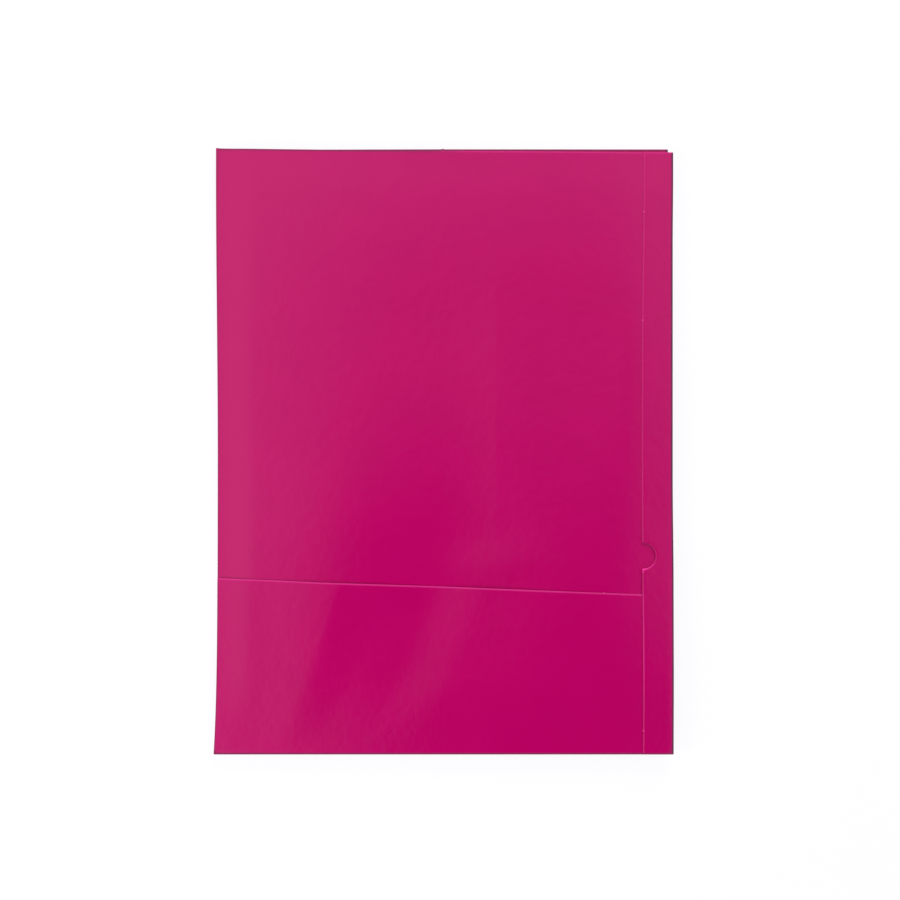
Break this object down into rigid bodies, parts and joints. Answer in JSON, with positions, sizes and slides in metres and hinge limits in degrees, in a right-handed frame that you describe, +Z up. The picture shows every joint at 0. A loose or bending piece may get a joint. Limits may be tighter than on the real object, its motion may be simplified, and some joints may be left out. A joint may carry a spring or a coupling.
{
  "type": "two pocket folder",
  "caption": "Glossy card presentation folder with a pocket along the bottom of each leaf and glued edge strips, lying flat, folded back on its spine.",
  "frame": {"origin": "centre of the folder's outline on the surface it lies on, with the folder folded back on itself and its pockets outwards", "axes": "+X from the spine fold to the outer edges, +Y from the bottom folds to the top edges, +Z up, out of the front leaf's pocket side"},
  "size_m": [0.2312, 0.3048, 0.0058],
  "materials": {
    "coated_card": "gloss",
    "glue": "matte"
  },
  "bodies": {
    "front_leaf": {"front_panel": "coated_card", "front_pocket_fold": "coated_card", "front_pocket": "coated_card", "front_edge_strip": "coated_card", "front_edge_fold": "coated_card", "front_strip_glue": "glue", "front_pocket_glue": "glue"},
    "spine_strip": {"spine": "coated_card"},
    "rear_leaf": {"rear_panel": "coated_card", "rear_pocket_fold": "coated_card", "rear_pocket": "coated_card", "rear_edge_strip": "coated_card", "rear_edge_fold": "coated_card", "rear_strip_glue": "glue", "rear_pocket_glue": "glue"},
    "front_pocket_corner": {"front_pocket_flap": "coated_card"},
    "rear_pocket_corner": {"rear_pocket_flap": "coated_card"}
  },
  "joints": [
    {"name": "front_crease", "type": "hinge", "parent": "front_leaf", "child": "spine_strip", "pos_m": [-0.1154, 0, 0.0045], "axis": [0, 1, 0], "range_deg": [0, 177]},
    {"name": "rear_crease", "type": "hinge", "parent": "spine_strip", "child": "rear_leaf", "pos_m": [-0.1154, 0, 0.0013], "axis": [0, 1, 0], "range_deg": [0, 177]},
    {"name": "front_pocket_bend", "type": "hinge", "parent": "front_leaf", "child": "front_pocket_corner", "pos_m": [-0.1151, -0.1499, 0.0051], "axis": [-0.9407, -0.3392, 0], "range_deg": [-20, 0], "stiffness_Nm_per_rad": 0.06, "deforming": ["front_pocket_flap"]},
    {"name": "rear_pocket_bend", "type": "hinge", "parent": "rear_leaf", "child": "rear_pocket_corner", "pos_m": [-0.1151, -0.1499, 0.0007], "axis": [0.9392, 0.3433, 0], "range_deg": [-20, 0], "stiffness_Nm_per_rad": 0.06, "deforming": ["rear_pocket_flap"]}
  ],
  "couplings": [
    {"joint": "rear_crease", "follows": "front_crease", "ratio": 1}
  ]
}
